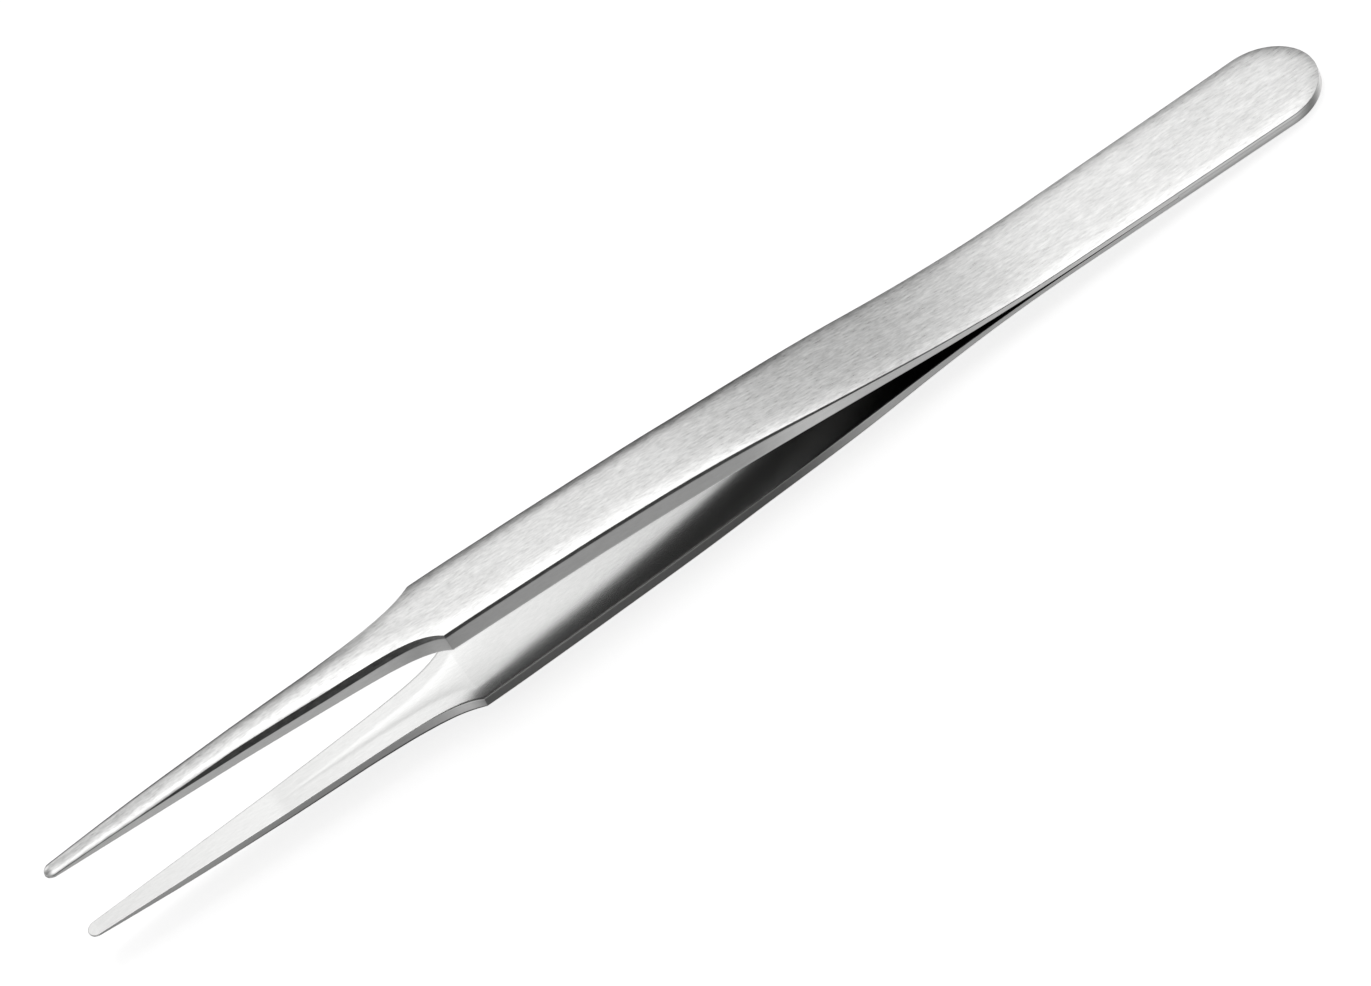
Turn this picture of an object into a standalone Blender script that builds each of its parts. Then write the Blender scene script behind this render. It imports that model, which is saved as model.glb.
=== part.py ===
"""Precision tweezers with flat rounded tips: two spring steel arms welded at the heel.

Both arms are one design, mirrored about the plane that they close on. A station is the distance
along the tweezers from the heel's rounded end, and heights are measured from the closing plane.
The finished tweezers lie on the floor z = 0, on the heel's end and the lower arm's belly, with the
heel towards +X and the tips towards -X. +Z is up and the jaws open along it.
"""
import math

import bmesh
import bpy
from mathutils import Matrix, Vector

MM = 0.001

# Overall layout, as stations
LENGTH = 120.0 * MM
WELD_END = 16.0 * MM
HINGE = 32.0 * MM
SHOULDER = 84.0 * MM
SPLIT_GAP = 0.3 * MM

# Widths, each as half of the full width
HEEL_HALF = 4.75 * MM
GRIP_HALF = 4.1 * MM
GRIP_START = 70.0 * MM
SHANK_HALF = 2.5 * MM
TIP_HALF = 0.76 * MM
SHOULDER_SWEEP = 2.0 * MM
HEEL_FLAT_HALF = 0.5 * MM
TIP_FLAT_HALF = 0.2 * MM

# Thickness of one arm
SPRING_THICK = 0.5 * MM
GRIP_THICK = 1.6 * MM
TIP_THICK = 0.32 * MM
SWELL_START = 28.0 * MM
SWELL_END = 64.0 * MM

# Inner face: clearance at the seam, and each bend as start, end and change of slope
SEAM_HALF_GAP = 0.05 * MM
BENDS = (
    (25.0 * MM, 42.0 * MM, 0.0825),
    (51.0 * MM, 75.0 * MM, -0.052),
    (101.0 * MM, 103.0 * MM, -0.021),
)

# Weld: a flat layer between the arms, let into both of them
WELD_HALF_THICK = 0.15 * MM
WELD_CLEARANCE = 0.05 * MM
WELD_STEP = 0.2 * MM

# Cross-section: draft of the sides and height of the knee, as shares of the thickness, and the
# crown from the knee to the middle, as shares of the outer face's half width and rise
BLADE_DRAFT = 0.25
SHANK_DRAFT = 0.10
BLADE_KNEE = 0.70
SHANK_KNEE = 0.60
FLAT_CROWN = ((0.96, 0.70), (0.87, 1.0), (0.0, 1.0))
ROUND_CROWN = ((0.80, 0.60), (0.42, 0.92), (0.0, 1.0))
CROWN_RUN = 8.0 * MM

STEEL = (0.62, 0.62, 0.61, 1.0)
WELD_STEEL = (0.56, 0.56, 0.56, 1.0)


def clear_scene():
    for obj in list(bpy.data.objects):
        bpy.data.objects.remove(obj, do_unlink=True)


def ease(value, start, end):
    """0 before start, 1 after end, with level ends between."""
    share = min(max((value - start) / (end - start), 0.0), 1.0)
    return share * share * (3.0 - 2.0 * share)


def mix(first, second, share):
    return first + (second - first) * share


def shank_share(station):
    """0 on the blade, then towards 1 along the concave sweep of the shoulder."""
    if station <= SHOULDER:
        return 0.0
    return 1.0 - math.exp(-(station - SHOULDER) / SHOULDER_SWEEP)


def half_width(station):
    if station < HEEL_HALF:
        round_end = math.sqrt(HEEL_HALF ** 2 - (HEEL_HALF - station) ** 2)
        return max(round_end, HEEL_FLAT_HALF)
    if station <= SHOULDER:
        taper = min((station - HEEL_HALF) / (GRIP_START - HEEL_HALF), 1.0)
        return mix(HEEL_HALF, GRIP_HALF, taper)
    shank = mix(SHANK_HALF, TIP_HALF, (station - SHOULDER) / (LENGTH - SHOULDER))
    width = shank + (GRIP_HALF - SHANK_HALF) * (1.0 - shank_share(station))
    past = (station - (LENGTH - TIP_HALF)) / TIP_HALF
    if past > 0.0:
        width = max(width * math.sqrt(max(1.0 - past ** 2, 0.0)), TIP_FLAT_HALF)
    return width


def bend_rise(station, start, end, slope):
    """Height gained past a bend whose slope changes evenly from its start to its end."""
    if station <= start:
        return 0.0
    if station >= end:
        return slope * (station - (start + end) / 2.0)
    return slope * (station - start) ** 2 / (2.0 * (end - start))


def inner_height(station):
    return SEAM_HALF_GAP + sum(bend_rise(station, *bend) for bend in BENDS)


def thickness(station):
    if station <= SHOULDER:
        return mix(SPRING_THICK, GRIP_THICK, ease(station, SWELL_START, SWELL_END))
    along = (station - SHOULDER) / (LENGTH - SHOULDER)
    return mix(GRIP_THICK, TIP_THICK, along ** 2)


def outer_height(station):
    return inner_height(station) + thickness(station)


def arm_section(station, inner):
    """One cross-section of the upper arm, as (y, z) points from the +Y inner edge to the -Y one."""
    width = half_width(station)
    thick = thickness(station)
    outer = outer_height(station)
    draft = min(mix(BLADE_DRAFT, SHANK_DRAFT, shank_share(station)) * thick, width / 2.0)
    knee = outer - thick * (1.0 - mix(BLADE_KNEE, SHANK_KNEE, shank_share(station)))
    crowned = ease(station, SHOULDER, SHOULDER + CROWN_RUN)
    side = [(width, inner), (width - draft, knee)]
    for flat, round_ in zip(FLAT_CROWN, ROUND_CROWN):
        across = mix(flat[0], round_[0], crowned)
        rise = mix(flat[1], round_[1], crowned)
        side.append(((width - draft) * across, knee + (outer - knee) * rise))
    return side + [(-y, z) for y, z in reversed(side[:-1])]


def spread(start, end, count):
    """Evenly spaced stations, with the first one left out."""
    return [start + (end - start) * (i + 1) / count for i in range(count)]


def rounded_heel(steps=8):
    return [HEEL_HALF * (1.0 - math.cos(math.pi / 2 * i / steps)) for i in range(steps + 1)]


def rounded_tip(steps=6):
    return [LENGTH - TIP_HALF * (1.0 - math.sin(math.pi / 2 * i / steps))
            for i in range(1, steps + 1)]


def heel_sections():
    """Rear of an arm: recessed over the weld, then touching the other arm at the seam."""
    recess = WELD_HALF_THICK + WELD_CLEARANCE
    step = WELD_END + WELD_STEP
    sections = [(s, arm_section(s, recess)) for s in rounded_heel() + [step]]
    end = HINGE - SPLIT_GAP / 2
    seam = [step + WELD_STEP, BENDS[0][0]] + spread(BENDS[0][0], end, 4)
    return sections + [(s, arm_section(s, inner_height(s))) for s in seam]


def front_stations():
    stations = [HINGE + SPLIT_GAP / 2]
    stations += spread(stations[-1], BENDS[0][1], 4)
    stations += spread(stations[-1], SWELL_END, 8)
    stations += spread(stations[-1], BENDS[1][1], 3) + [SHOULDER]
    stations += [SHOULDER + SHOULDER_SWEEP * share for share in (0.25, 0.5, 0.8, 1.2, 1.8, 2.6, 3.7)]
    stations += spread(stations[-1], BENDS[2][0], 4) + [BENDS[2][1]]
    stations += spread(stations[-1], LENGTH - TIP_HALF, 6)
    return stations + rounded_tip()


def front_sections():
    return [(s, arm_section(s, inner_height(s))) for s in front_stations()]


def weld_sections():
    def plate(station):
        width = half_width(station)
        return [(width, -WELD_HALF_THICK), (width, WELD_HALF_THICK),
                (-width, WELD_HALF_THICK), (-width, -WELD_HALF_THICK)]
    return [(s, plate(s)) for s in rounded_heel() + [WELD_END]]


def steel(name, colour, roughness):
    material = bpy.data.materials.new(name)
    material.use_nodes = True
    shader = material.node_tree.nodes["Principled BSDF"]
    shader.inputs["Base Color"].default_value = colour
    shader.inputs["Metallic"].default_value = 1.0
    shader.inputs["Roughness"].default_value = roughness
    return material


def loft(name, sections, origin, mirrored, material, pose, collection):
    """A closed solid through sections of equal point count, with flat ends.

    origin is the object's place in the posed frame, as a (station, height) pair.
    """
    turn = -1.0 if mirrored else 1.0
    mesh = bpy.data.meshes.new(name)
    body = bmesh.new()
    rings = []
    for station, points in sections:
        place = [Vector((origin[0] - station, y, turn * z - origin[1])) for y, z in points]
        rings.append([body.verts.new(point) for point in place])
    for ring, following in zip(rings, rings[1:]):
        for i in range(len(ring)):
            j = (i + 1) % len(ring)
            body.faces.new((ring[i], ring[j], following[j], following[i]))
    body.faces.new(rings[0])
    body.faces.new(rings[-1])
    bmesh.ops.recalc_face_normals(body, faces=body.faces)
    body.to_mesh(mesh)
    body.free()
    mesh.shade_smooth()
    mesh.set_sharp_from_angle(angle=math.radians(25.0))
    mesh.materials.append(material)
    obj = bpy.data.objects.new(name, mesh)
    obj.parent = pose
    obj.location = (-origin[0], 0.0, origin[1])
    collection.objects.link(obj)
    return obj


def rest_tilt():
    """Slope of the closing plane when the heel's end and the belly both touch the floor."""
    belly = [HINGE + (SHOULDER - HINGE) * i / 200 for i in range(201)]
    drop = outer_height(0.0)
    return math.atan(max((outer_height(s) - drop) / s for s in belly))


def bench_pose(collection):
    """Empty that lays the tweezers on the floor with the middle of their length at x = 0."""
    tilt = rest_tilt()
    heel_end = outer_height(0.0) * math.sin(tilt)
    tip_end = -LENGTH * math.cos(tilt) - outer_height(LENGTH) * math.sin(tilt)
    pose = bpy.data.objects.new("bench_pose", None)
    pose.matrix_world = (
        Matrix.Translation((-(heel_end + tip_end) / 2, 0.0, outer_height(0.0) * math.cos(tilt)))
        @ Matrix.Rotation(tilt, 4, "Y"))
    collection.objects.link(pose)
    return pose


def main():
    clear_scene()
    collection = bpy.data.collections.new("precision_tweezers")
    bpy.context.scene.collection.children.link(collection)
    pose = bench_pose(collection)
    satin = steel("satin_steel", STEEL, 0.32)
    fused = steel("weld_metal", WELD_STEEL, 0.4)
    hinge_height = (inner_height(HINGE) + outer_height(HINGE)) / 2
    loft("heel_weld", weld_sections(), (0.0, 0.0), False, fused, pose, collection)
    for side, mirrored in (("upper", False), ("lower", True)):
        height = -hinge_height if mirrored else hinge_height
        loft(side + "_arm_heel", heel_sections(), (0.0, 0.0), mirrored, satin, pose, collection)
        loft(side + "_arm", front_sections(), (HINGE, height), mirrored, satin, pose, collection)


main()
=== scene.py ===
"""Looks of the precision tweezers: two satin steel arms, the weld at the heel, floor, light, camera.

Both arms are one design, mirrored about the plane that they close on. A station is the distance
along the tweezers from the heel's rounded end, and heights are measured from the closing plane.
"""
import math

import bmesh
import bpy
from mathutils import Matrix, Vector


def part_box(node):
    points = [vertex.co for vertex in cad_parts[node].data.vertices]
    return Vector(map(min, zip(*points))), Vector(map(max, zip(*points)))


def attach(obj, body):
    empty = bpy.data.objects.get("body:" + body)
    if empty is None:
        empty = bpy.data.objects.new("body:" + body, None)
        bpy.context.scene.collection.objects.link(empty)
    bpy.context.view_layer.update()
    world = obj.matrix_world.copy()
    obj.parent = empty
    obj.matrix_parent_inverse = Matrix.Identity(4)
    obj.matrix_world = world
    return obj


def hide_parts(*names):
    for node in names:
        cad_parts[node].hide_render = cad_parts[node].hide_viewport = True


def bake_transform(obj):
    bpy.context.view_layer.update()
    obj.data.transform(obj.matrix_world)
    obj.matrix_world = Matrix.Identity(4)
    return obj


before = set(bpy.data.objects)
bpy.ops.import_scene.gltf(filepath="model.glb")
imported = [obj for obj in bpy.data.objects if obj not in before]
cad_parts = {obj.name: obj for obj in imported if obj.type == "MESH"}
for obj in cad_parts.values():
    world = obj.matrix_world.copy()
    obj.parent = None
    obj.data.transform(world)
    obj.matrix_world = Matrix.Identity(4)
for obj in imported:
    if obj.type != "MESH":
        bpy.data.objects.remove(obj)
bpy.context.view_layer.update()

MM = 0.001

# Overall layout of the CAD part, as stations
LENGTH = 120.0 * MM
WELD_END = 16.0 * MM
HINGE = 32.0 * MM
SHOULDER = 84.0 * MM

# Widths, each as half of the full width
HEEL_HALF = 4.75 * MM
GRIP_HALF = 4.1 * MM
GRIP_START = 70.0 * MM
SHANK_HALF = 2.5 * MM
TIP_HALF = 0.76 * MM
SHOULDER_SWEEP = 2.0 * MM

# Middle of the tip's rounded end, whose radius is the shank's half width there
TIP_MIDDLE = LENGTH - TIP_HALF / (1.0 - (SHANK_HALF - TIP_HALF) / (LENGTH - SHOULDER))

# Thickness of one arm
SPRING_THICK = 0.5 * MM
GRIP_THICK = 1.6 * MM
TIP_THICK = 0.32 * MM
SWELL_START = 28.0 * MM
SWELL_END = 64.0 * MM

# Inner face: clearance at the seam, how much of it closes up in front of the weld and where, and
# each bend as start, end and change of slope
SEAM_HALF_GAP = 0.05 * MM
SEAM_CLOSING = 0.045 * MM
SEAM_RUN = (17.0 * MM, 27.0 * MM)
WELD_HALF_THICK = 0.15 * MM
SPRING_BEND = (25.0 * MM, 42.0 * MM, 0.0825)
GRIP_BEND = (51.0 * MM, 75.0 * MM, -0.052)
FACET_BEND = (101.6 * MM, 102.4 * MM, -0.021)

# Cross-section, from the inner edge round to the middle of the outer face: a drafted side, a narrow
# bevel and a crown. Drafts are shares of the thickness, and bevels are widths measured on the slope.
HEEL_DRAFT = 0.03
BLADE_DRAFT = 0.25
SHANK_DRAFT = 0.10
DRAFT_RUN = (44.0 * MM, 58.0 * MM)
EDGE_RADIUS = 0.025 * MM
EDGE_SHARE_MAX = 0.3
BEVEL_LEAN = math.radians(52.0)
SPRING_BEVEL = 0.05 * MM
BLADE_BEVEL = 0.24 * MM
SHANK_BEVEL = 0.60 * MM
BEVEL_FADE = (98.0 * MM, 113.0 * MM)
BEVEL_SHARE_MAX = 0.3

# Outer face: slope of its crown at the edge, how sharply that slope sets in, and where each changes
SPRING_SLOPE = 0.14
BLADE_SLOPE = 0.40
SHANK_SLOPE = 0.50
GRIP_RUN = (44.0 * MM, 60.0 * MM)
BLADE_POWER = 7.0
SHANK_POWER = 2.5
POWER_RUN = (79.0 * MM, 91.0 * MM)
SHANK_RUN = (84.0 * MM, 95.0 * MM)
SHANK_REACH_SHARE = 0.8
CROWN_SHARE_MAX = 0.5

# Inner face of the shank: a shallow lengthwise hollow between two flat rims
RIM = 1.58 * MM
HOLLOW_SLOPE = 0.06
HOLLOW_RUN = (78.0 * MM, 88.0 * MM)

# Half a ring of the mesh: points across each zone, closer together towards the edges, and the
# heights on the weld's side as shares of its half thickness
INNER_STEPS = 16
EDGE_STEPS = 3
SIDE_SHARES = (0.05, 0.35, 0.7, 0.94)
BEVEL_SHARES = (0.0, 0.08, 0.35, 0.65, 0.92, 1.0)
TOP_STEPS = 20
TOP_CROWDING = 1.8
WELD_LEVELS = (-1.0, -0.6, 0.0, 0.6, 1.0)

# Rings along the arm, closer together where the outline or a face turns
STATION_STEP = 0.5 * MM
FACET_STEP = 0.1 * MM
WELD_LIP = 0.02 * MM
SHOULDER_LEADS = (0.4 * MM, 0.1 * MM, 0.015 * MM)
SHOULDER_FIRST_STEP = 0.015 * MM
SHOULDER_GROWTH = 1.22
SHOULDER_RINGS = 30
BELLY_STEPS = 200

# Rounded ends: rings in a quarter turn, and how deep the rings stay parallel to the outline, as a
# share of the radius
FAN_STEPS = 28
FAN_INSET_SHARE = 0.5

# Clean-up of the mesh
MERGE_DISTANCE = 0.0004 * MM
SHORTEST_EDGE = 0.0002 * MM
SHARP_ANGLE = math.radians(60.0)

# Brush marks in the steel: noise scale per millimetre along and across the arm, detail and seed,
# then how much they change the tone, the roughness and the surface
FINE_MARKS = (1.3, 5.0, 3.0, 1.0)
BROAD_MARKS = (0.35, 1.2, 2.0, 5.0)
MARK_ROUGHNESS = 0.6
MARKS_ON_GROUND_FACES = 0.2
FINE_TONE = 0.70
BROAD_TONE = 0.22
FINE_ROUGHNESS = 0.16
BUMP_STRENGTH = 0.25
BUMP_HEIGHT = 0.004 * MM

# Tone of the steel along the arm, made lighter at the heel as painted light, and the painted dark
# reflection that the inner face loses from it, turning to a slight painted brightening near the
# shoulder: the stations in millimetres where each change starts and ends, and its value at both
TONE_AND_PAINTED_HEEL_LIGHT = (18.0, 42.0, 0.73, 0.62)
# Painted dark reflection on the inner face, where the other arm's underside shows in it; the blade's
# run ends in a slight painted brightening
ROOT_PAINTED_REFLECTION = (42.0, 56.0, 0.22, 0.0)
BLADE_PAINTED_REFLECTION = (56.0, 92.0, 0.22, -0.05)
STEEL_TINT = (1.0, 1.0, 0.992)
OUTER_ROUGHNESS = 0.30
INNER_ROUGHNESS = 0.22
ANISOTROPY = 0.55

# Floor and backdrop: extents in metres, and the white that each reflects and gives off
BACKDROP_RADIUS = 2.9
BACKDROP_SEGMENTS = 48
FLOOR_REACH = 3.0
FLOOR_BASE = 0.5
FLOOR_GLOW = 0.78
MATT_ROUGHNESS = 0.9

# Studio light: each glow's azimuth from +Y towards +X and elevation in degrees, focus, strength
GLOWS = (
    (-35.0, 75.0, 40.0, 1.6),
    (45.0, 75.0, 40.0, 2.2),
    (15.0, 60.0, 40.0, 1.6),
    (10.0, 45.0, 40.0, 1.6),
    (-15.0, 20.0, 40.0, 2.0),
    (90.0, 35.0, 6.0, 0.8),
    (270.0, 35.0, 6.0, 0.6),
    (60.0, -25.0, 8.0, 1.7),
    (165.0, -25.0, 10.0, 1.0),
    (240.0, -40.0, 10.0, 1.5),
    (300.0, 0.0, 12.0, 1.0),
)

# Camera: place, direction of its right and of its back, and lens in millimetres
CAMERA_PLACE = (-0.02386, -0.28904, 0.27434)
CAMERA_RIGHT = (0.8032, -0.4396, -0.4021)
CAMERA_BACK = (-0.0564, -0.7280, 0.6832)
CAMERA_LENS = 131.16
CAMERA_SENSOR = 36.0
CAMERA_CLIP = 0.01


def ease(value, start, end):
    """0 before start, 1 after end, with level ends between."""
    share = min(max((value - start) / (end - start), 0.0), 1.0)
    return share * share * (3.0 - 2.0 * share)


def mix(first, second, share):
    return first + (second - first) * share


def shank_share(station):
    """0 on the blade, then towards 1 along the concave sweep of the shoulder."""
    if station <= SHOULDER:
        return 0.0
    return 1.0 - math.exp(-(station - SHOULDER) / SHOULDER_SWEEP)


def shank_line(station):
    """Half width of the shank, straight from the shoulder to the tip."""
    return mix(SHANK_HALF, TIP_HALF, (station - SHOULDER) / (LENGTH - SHOULDER))


def half_width(station):
    """Half width between the rounded ends, which are lofted as fans."""
    if station <= SHOULDER:
        taper = min(max((station - HEEL_HALF) / (GRIP_START - HEEL_HALF), 0.0), 1.0)
        return mix(HEEL_HALF, GRIP_HALF, taper)
    return shank_line(station) + (GRIP_HALF - SHANK_HALF) * (1.0 - shank_share(station))


def bend_rise(station, start, end, slope):
    """Height gained past a bend whose slope changes evenly from its start to its end."""
    if station <= start:
        return 0.0
    if station >= end:
        return slope * (station - (start + end) / 2.0)
    return slope * (station - start) ** 2 / (2.0 * (end - start))


def inner_height(station):
    bends = (SPRING_BEND, GRIP_BEND, FACET_BEND)
    return SEAM_HALF_GAP + sum(bend_rise(station, *bend) for bend in bends)


def arm_inner(station):
    """Inner face of an arm, let back over the weld at the heel and closed up just in front of it."""
    if station <= WELD_END:
        return WELD_HALF_THICK
    return inner_height(station) - SEAM_CLOSING * (1.0 - ease(station, *SEAM_RUN))


def thickness(station):
    if station <= SHOULDER:
        return mix(SPRING_THICK, GRIP_THICK, ease(station, SWELL_START, SWELL_END))
    along = (station - SHOULDER) / (LENGTH - SHOULDER)
    return mix(GRIP_THICK, TIP_THICK, along ** 2)


def outer_height(station):
    return inner_height(station) + thickness(station)


def draft_share(station):
    """Lean of the side, as a share of the thickness."""
    blade_draft = mix(HEEL_DRAFT, BLADE_DRAFT, ease(station, *DRAFT_RUN))
    return mix(blade_draft, SHANK_DRAFT, shank_share(station))


def bevel_width(station):
    """Width of the bevel on its slope: widest on the shank, and narrowing towards the tip."""
    blade_bevel = mix(SPRING_BEVEL, BLADE_BEVEL, ease(station, SWELL_START, SWELL_END))
    shank_bevel = mix(SHANK_BEVEL, SPRING_BEVEL, ease(station, *BEVEL_FADE))
    return mix(blade_bevel, shank_bevel, shank_share(station))


def crown_reach(station, half_top):
    """Distance across at which the crown has its full edge slope."""
    if station <= SHOULDER:
        return half_top
    blade_reach = GRIP_HALF - BLADE_DRAFT * GRIP_THICK - BLADE_BEVEL * math.cos(BEVEL_LEAN)
    shank_reach = SHANK_REACH_SHARE * shank_line(station)
    return max(mix(blade_reach, shank_reach, ease(station, *SHANK_RUN)), half_top)


def edge_slope(station):
    """Slope of the crown at its edge."""
    blade_slope = mix(SPRING_SLOPE, BLADE_SLOPE, ease(station, *GRIP_RUN))
    return mix(blade_slope, SHANK_SLOPE, ease(station, *SHANK_RUN))


class Section:
    """The shape across an arm at one station."""

    def __init__(self, station):
        thick = thickness(station)
        bevel_rise = bevel_width(station) * math.sin(BEVEL_LEAN)
        self.station = station
        self.width = half_width(station)
        self.inner = arm_inner(station)
        self.outer = outer_height(station)
        self.draft = draft_share(station) * thick
        self.bevel_rise = min(bevel_rise, BEVEL_SHARE_MAX * thick)
        self.bevel_run = self.bevel_rise / math.tan(BEVEL_LEAN)
        self.half_top = self.width - self.draft - self.bevel_run
        self.reach = crown_reach(station, self.half_top)
        self.power = mix(BLADE_POWER, SHANK_POWER, ease(station, *POWER_RUN))
        self.crown = min(edge_slope(station) * self.reach / self.power, CROWN_SHARE_MAX * thick)
        self.knee = self.top(self.half_top) - self.bevel_rise

    def top(self, across):
        """Height of the outer face at a distance from its middle line."""
        return self.outer - self.crown * (across / self.reach) ** self.power

    def bottom(self, across):
        """Height of the inner face at a distance from its middle line."""
        half = self.width - RIM
        if half <= 0.0 or across >= half:
            return self.inner
        depth = HOLLOW_SLOPE * half / 2.0 * ease(self.station, *HOLLOW_RUN)
        return self.inner + depth * (1.0 - (across / half) ** 2)


def section_points(section):
    """Half of a ring, as (zone, inset, height) from the inner middle to the outer middle.

    An inset is a distance inwards from the widest outline.
    """
    edge = min(EDGE_RADIUS, EDGE_SHARE_MAX * (section.knee - section.inner))
    points = []
    for step in range(INNER_STEPS):
        across = (section.width - edge) * step / INNER_STEPS
        points.append(("inner", section.width - across, section.bottom(across)))
    for step in range(EDGE_STEPS + 1):
        turn = math.pi / 2 * step / EDGE_STEPS
        inset = edge * (1.0 - math.sin(turn))
        points.append(("side", inset, section.inner + edge * (1.0 - math.cos(turn))))
    for share in SIDE_SHARES:
        points.append(("side", section.draft * share, mix(section.inner + edge, section.knee, share)))
    for share in BEVEL_SHARES:
        inset = section.draft + section.bevel_run * share
        points.append(("bevel", inset, section.knee + section.bevel_rise * share))
    for step in range(1, TOP_STEPS + 1):
        across = section.half_top * (1.0 - (step / TOP_STEPS) ** TOP_CROWDING)
        points.append(("outer", section.width - across, section.top(across)))
    return points


def straight(station):
    """Half a ring across the arm, as (along, across, height, zone) in the design's frame."""
    section = Section(station)
    return [(station, section.width - inset, height, zone)
            for zone, inset, height in section_points(section)]


def fan(middle, outwards, angle):
    """Half a ring turned by angle about the middle of a rounded end."""
    section = Section(middle)
    radius = section.width
    deepest = FAN_INSET_SHARE * radius
    made = []
    for zone, inset, height in section_points(section):
        reach = radius - min(inset, deepest)
        along = reach * math.cos(angle)
        across = reach * math.sin(angle)
        if inset > deepest:
            across *= (radius - inset) / (radius - deepest)
            if zone == "outer":
                height = section.top(math.hypot(along, across))
        made.append((middle + outwards * along, across, height, zone))
    return made


def quarter_turns():
    """Angles of a rounded end's rings, from the end towards the straight part."""
    return [math.pi / 2 * i / FAN_STEPS for i in range(FAN_STEPS)]


def spread(start, end, step):
    """Stations from start to end, both included, no more than a step apart."""
    count = max(1, math.ceil((end - start) / step))
    return [start + (end - start) * i / count for i in range(count + 1)]


def shoulder_stations():
    """Stations past the shoulder, further and further apart as its sweep straightens."""
    return [SHOULDER + SHOULDER_FIRST_STEP * SHOULDER_GROWTH ** i for i in range(SHOULDER_RINGS)]


def arm_rings():
    """All half rings of an arm, from the heel's end to the tip."""
    turns = quarter_turns()
    leads = [SHOULDER - lead for lead in SHOULDER_LEADS]
    after = shoulder_stations()
    facet = spread(FACET_BEND[0], FACET_BEND[1], FACET_STEP)
    stations = spread(HEEL_HALF, WELD_END, STATION_STEP)
    stations += spread(WELD_END + WELD_LIP, leads[0], STATION_STEP)
    stations += leads[1:] + [SHOULDER] + after
    stations += spread(after[-1], facet[0], STATION_STEP)[1:-1] + facet
    stations += spread(facet[-1], TIP_MIDDLE, STATION_STEP)[1:]
    rings = [fan(HEEL_HALF, -1.0, turn) for turn in turns]
    rings += [straight(station) for station in stations]
    return rings + [fan(TIP_MIDDLE, 1.0, turn) for turn in reversed(turns)]


def weld_rings():
    """Half rings of the weld: a flat layer with the outline of the heel."""
    outline = [(HEEL_HALF * (1.0 - math.cos(turn)), HEEL_HALF * math.sin(turn))
               for turn in quarter_turns()]
    outline += [(station, half_width(station)) for station in spread(HEEL_HALF, WELD_END, STATION_STEP)]
    rings = []
    for station, width in outline:
        half = [(station, 0.0, -WELD_HALF_THICK, "inner")]
        half += [(station, width, level * WELD_HALF_THICK, "side") for level in WELD_LEVELS]
        rings.append(half + [(station, 0.0, WELD_HALF_THICK, "inner")])
    return rings


def rest_tilt():
    """Slope of the closing plane when the heel's end and the belly both touch the floor."""
    belly = [HINGE + (SHOULDER - HINGE) * i / BELLY_STEPS for i in range(BELLY_STEPS + 1)]
    drop = outer_height(0.0)
    return math.atan(max((outer_height(s) - drop) / s for s in belly))


def bench_pose():
    """The design's place in the part's frame, from the tilt and the CAD box of the heel."""
    tilt = rest_tilt()
    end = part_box("upper_arm_heel")[1].x
    drop = outer_height(0.0)
    place = Vector((end - drop * math.sin(tilt), 0.0, drop * math.cos(tilt)))
    return Matrix.Translation(place) @ Matrix.Rotation(tilt, 4, "Y")


POSE = bench_pose()


def design_point(station, across, height):
    return POSE @ Vector((-station, across, height))


def add_object(name, data):
    made = bpy.data.objects.new(name, data)
    bpy.context.scene.collection.objects.link(made)
    return made


def mesh_from_rings(name, rings, mirrored):
    """A closed mesh through half rings, mirrored across the middle plane.

    The UV map "brush" runs along the arm and across it. The "blank" attribute is each point's
    station, distance across and height above the arm's inner face, all in millimetres. "side" and
    "inner_face" are 1 on those zones.
    """
    turn = -1.0 if mirrored else 1.0
    body = bmesh.new()
    blank = body.verts.layers.float_vector.new("blank")
    side_layer = body.verts.layers.float.new("side")
    inner_layer = body.verts.layers.float.new("inner_face")
    brush = body.loops.layers.uv.new("brush")
    for hand in (1.0, -1.0):
        grid = []
        for half in rings:
            row = []
            for along, across, height, zone in half:
                vert = body.verts.new(design_point(along, hand * across, turn * height))
                vert[blank] = Vector((along, hand * across, height - inner_height(along))) / MM
                vert[side_layer] = 1.0 if zone == "side" else 0.0
                vert[inner_layer] = 1.0 if zone == "inner" else 0.0
                row.append((vert, (along / LENGTH, hand * (across - height) / LENGTH)))
            grid.append(row)
        for row, following in zip(grid, grid[1:]):
            for i in range(len(row) - 1):
                corners = [row[i], row[i + 1], following[i + 1], following[i]]
                face = body.faces.new([vert for vert, _ in corners])
                for loop, (_, place) in zip(face.loops, corners):
                    loop[brush].uv = place
    bmesh.ops.remove_doubles(body, verts=body.verts, dist=MERGE_DISTANCE)
    bmesh.ops.dissolve_degenerate(body, edges=body.edges, dist=SHORTEST_EDGE)
    bmesh.ops.recalc_face_normals(body, faces=body.faces)
    mesh = bpy.data.meshes.new(name)
    body.to_mesh(mesh)
    body.free()
    mesh.shade_smooth()
    mesh.set_sharp_from_angle(angle=SHARP_ANGLE)
    return add_object(name, mesh)


def make_arm(side, mirrored, material):
    piece = mesh_from_rings(side + "_arm_steel", arm_rings(), mirrored)
    piece.data.materials.append(material)
    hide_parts(side + "_arm_heel", side + "_arm")
    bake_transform(piece)


def make_weld(material):
    piece = mesh_from_rings("heel_weld_fill", weld_rings(), False)
    piece.data.materials.append(material)
    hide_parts("heel_weld")
    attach(piece, "heel")


def node(tree, kind, **values):
    """A shader node, with its properties and unlinked inputs set by name."""
    made = tree.nodes.new(kind)
    for key, value in values.items():
        if hasattr(made, key):
            setattr(made, key, value)
        else:
            made.inputs[key.replace("_", " ")].default_value = value
    return made


def link(tree, source, target):
    tree.links.new(source, target)


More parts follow.
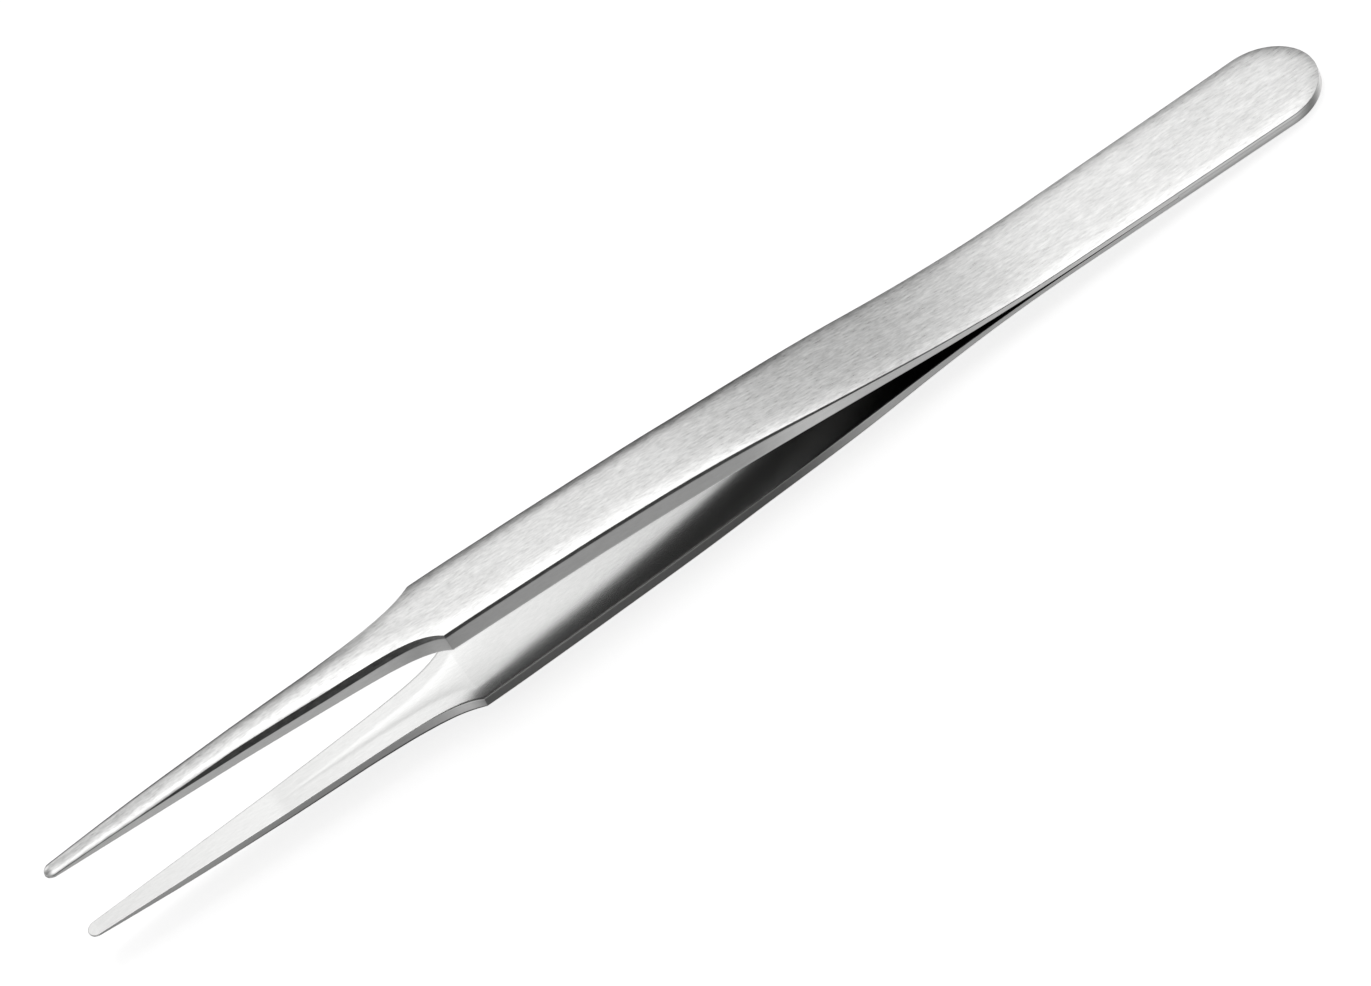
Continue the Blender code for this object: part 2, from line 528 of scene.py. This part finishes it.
def maths(tree, operation, *values):
    """A Math node's result, from sockets and plain numbers."""
    made = node(tree, "ShaderNodeMath", operation=operation)
    for socket, value in zip(made.inputs, values):
        if isinstance(value, float):
            socket.default_value = value
        else:
            link(tree, value, socket)
    return made.outputs["Value"]


def ranged(tree, value, low, high, to_low, to_high):
    """to_low at low and below, to_high at high and above, and a straight run between."""
    made = node(tree, "ShaderNodeMapRange",
                From_Min=low, From_Max=high, To_Min=to_low, To_Max=to_high)
    link(tree, value, made.inputs["Value"])
    return made.outputs["Result"]


def brush_marks(tree, blank, strength, lengthwise, crosswise, detail, seed):
    """Noise drawn out along the arm, from about -0.5 to 0.5 before its strength."""
    scale = node(tree, "ShaderNodeVectorMath", operation="MULTIPLY")
    scale.inputs[1].default_value = (lengthwise, crosswise, crosswise)
    noise = node(tree, "ShaderNodeTexNoise", noise_dimensions="4D", W=seed, Scale=1.0,
                 Detail=detail, Roughness=MARK_ROUGHNESS)
    link(tree, blank, scale.inputs[0])
    link(tree, scale.outputs["Vector"], noise.inputs["Vector"])
    return maths(tree, "MULTIPLY", maths(tree, "SUBTRACT", noise.outputs["Fac"], 0.5), strength)


def tone_with_painted_light(tree, station, inner, fine, broad):
    """How bright the steel is: marks on a base that is lighter at the heel as painted light, less a
    painted dark reflection on its inner face.
    """
    marks = maths(tree, "ADD", maths(tree, "MULTIPLY", fine, FINE_TONE),
                  maths(tree, "MULTIPLY", broad, BROAD_TONE))
    # The base is lighter at the heel than further along: painted light.
    base = ranged(tree, station, *TONE_AND_PAINTED_HEEL_LIGHT)
    # What the inner face loses here is a painted dark reflection, turning to a slight painted
    # brightening near the shoulder.
    inner_painted_reflection = maths(tree, "ADD", ranged(tree, station, *ROOT_PAINTED_REFLECTION), ranged(tree, station, *BLADE_PAINTED_REFLECTION))
    return maths(tree, "SUBTRACT", maths(tree, "ADD", marks, base),
                 maths(tree, "MULTIPLY", inner, inner_painted_reflection))


def brushed_steel(name):
    """Satin steel with short lengthwise brush marks, plainer on the ground sides and inner face, with
    painted light in its tone: a lighter heel and a dark reflection on the inner face.
    """
    material = bpy.data.materials.new(name)
    material.use_nodes = True
    tree = material.node_tree
    shader = tree.nodes["Principled BSDF"]
    shader.inputs["Metallic"].default_value = 1.0
    shader.inputs["Anisotropic"].default_value = ANISOTROPY

    blank = node(tree, "ShaderNodeAttribute", attribute_name="blank").outputs["Vector"]
    side = node(tree, "ShaderNodeAttribute", attribute_name="side").outputs["Fac"]
    inner = node(tree, "ShaderNodeAttribute", attribute_name="inner_face").outputs["Fac"]
    parts = node(tree, "ShaderNodeSeparateXYZ")
    link(tree, blank, parts.inputs["Vector"])
    ground = maths(tree, "MAXIMUM", side, inner)
    strength = ranged(tree, ground, 0.0, 1.0, 1.0, MARKS_ON_GROUND_FACES)
    fine = brush_marks(tree, blank, strength, *FINE_MARKS)
    broad = brush_marks(tree, blank, strength, *BROAD_MARKS)

    tone = tone_with_painted_light(tree, parts.outputs["X"], inner, fine, broad)
    colour = node(tree, "ShaderNodeCombineColor")
    for channel, tint in zip(colour.inputs, STEEL_TINT):
        link(tree, maths(tree, "MULTIPLY", tone, tint), channel)
    link(tree, colour.outputs["Color"], shader.inputs["Base Color"])

    polish = ranged(tree, inner, 0.0, 1.0, OUTER_ROUGHNESS, INNER_ROUGHNESS)
    rough = maths(tree, "ADD", maths(tree, "MULTIPLY", fine, FINE_ROUGHNESS), polish)
    link(tree, rough, shader.inputs["Roughness"])
    bump = node(tree, "ShaderNodeBump", Strength=BUMP_STRENGTH, Distance=BUMP_HEIGHT)
    link(tree, fine, bump.inputs["Height"])
    link(tree, bump.outputs["Normal"], shader.inputs["Normal"])
    tangent = node(tree, "ShaderNodeTangent", direction_type="UV_MAP", uv_map="brush")
    link(tree, tangent.outputs["Tangent"], shader.inputs["Tangent"])
    return material


def glowing_white(name, base, glow):
    """Matt white that also gives off light of its own, so that it shows as a plain pale tone."""
    material = bpy.data.materials.new(name)
    material.use_nodes = True
    shader = material.node_tree.nodes["Principled BSDF"]
    shader.inputs["Base Color"].default_value = (base, base, base, 1.0)
    shader.inputs["Roughness"].default_value = MATT_ROUGHNESS
    shader.inputs["Specular IOR Level"].default_value = 0.0
    shader.inputs["Emission Color"].default_value = (1.0, 1.0, 1.0, 1.0)
    shader.inputs["Emission Strength"].default_value = glow
    return material


def make_backdrop():
    """Pale dome that only the camera sees, so that low views have a plain background."""
    mesh = bpy.data.meshes.new("backdrop")
    body = bmesh.new()
    bmesh.ops.create_uvsphere(body, u_segments=BACKDROP_SEGMENTS, v_segments=BACKDROP_SEGMENTS // 2,
                              radius=BACKDROP_RADIUS)
    body.to_mesh(mesh)
    body.free()
    mesh.shade_smooth()
    mesh.materials.append(glowing_white("backdrop_white", 0.0, 1.0))
    backdrop = add_object("backdrop", mesh)
    backdrop.visible_glossy = False
    backdrop.visible_diffuse = False
    backdrop.visible_shadow = False
    backdrop.visible_transmission = False


def make_floor():
    """Pale floor that the steel doesn't reflect."""
    mesh = bpy.data.meshes.new("floor")
    reach = FLOOR_REACH
    mesh.from_pydata([(-reach, -reach, 0), (reach, -reach, 0), (reach, reach, 0), (-reach, reach, 0)],
                     [], [(0, 1, 2, 3)])
    mesh.materials.append(glowing_white("floor_white", FLOOR_BASE, FLOOR_GLOW))
    floor = add_object("floor", mesh)
    floor.visible_glossy = False


def glow_towards(tree, place, azimuth, elevation, focus, strength):
    """Light that is strongest in one direction. A higher focus makes it a narrower glow."""
    turn = math.radians(azimuth)
    lift = math.radians(elevation)
    dot = node(tree, "ShaderNodeVectorMath", operation="DOT_PRODUCT")
    dot.inputs[1].default_value = (
        math.sin(turn) * math.cos(lift), math.cos(turn) * math.cos(lift), math.sin(lift))
    link(tree, place, dot.inputs[0])
    falloff = maths(tree, "MULTIPLY", maths(tree, "SUBTRACT", dot.outputs["Value"], 1.0), focus)
    return maths(tree, "MULTIPLY", maths(tree, "EXPONENT", falloff), strength)


def make_lights():
    """Soft studio light from all round: broad glows, each from its own direction."""
    world = bpy.data.worlds.new("studio")
    world.use_nodes = True
    tree = world.node_tree
    background = tree.nodes["Background"]
    background.inputs["Color"].default_value = (1.0, 1.0, 1.0, 1.0)
    place = node(tree, "ShaderNodeTexCoord").outputs["Generated"]
    total = glow_towards(tree, place, *GLOWS[0])
    for glow in GLOWS[1:]:
        total = maths(tree, "ADD", total, glow_towards(tree, place, *glow))
    link(tree, total, background.inputs["Strength"])
    bpy.context.scene.world = world


def make_camera():
    """Camera 0.4 m away with a long lens, rolled so that the tweezers lie along the diagonal."""
    data = bpy.data.cameras.new("camera")
    data.sensor_width = CAMERA_SENSOR
    data.lens = CAMERA_LENS
    data.clip_start = CAMERA_CLIP
    back = Vector(CAMERA_BACK).normalized()
    up = back.cross(Vector(CAMERA_RIGHT).normalized()).normalized()
    right = up.cross(back)
    turn = Matrix((right, up, back)).transposed().to_4x4()
    camera = add_object("camera", data)
    camera.matrix_world = Matrix.Translation(CAMERA_PLACE) @ turn
    bpy.context.scene.camera = camera
    bpy.context.scene.view_settings.view_transform = "Standard"


steel = brushed_steel("brushed_steel")
make_arm("upper", False, steel)
make_arm("lower", True, steel)
make_weld(steel)
make_backdrop()
make_floor()
make_lights()
make_camera()
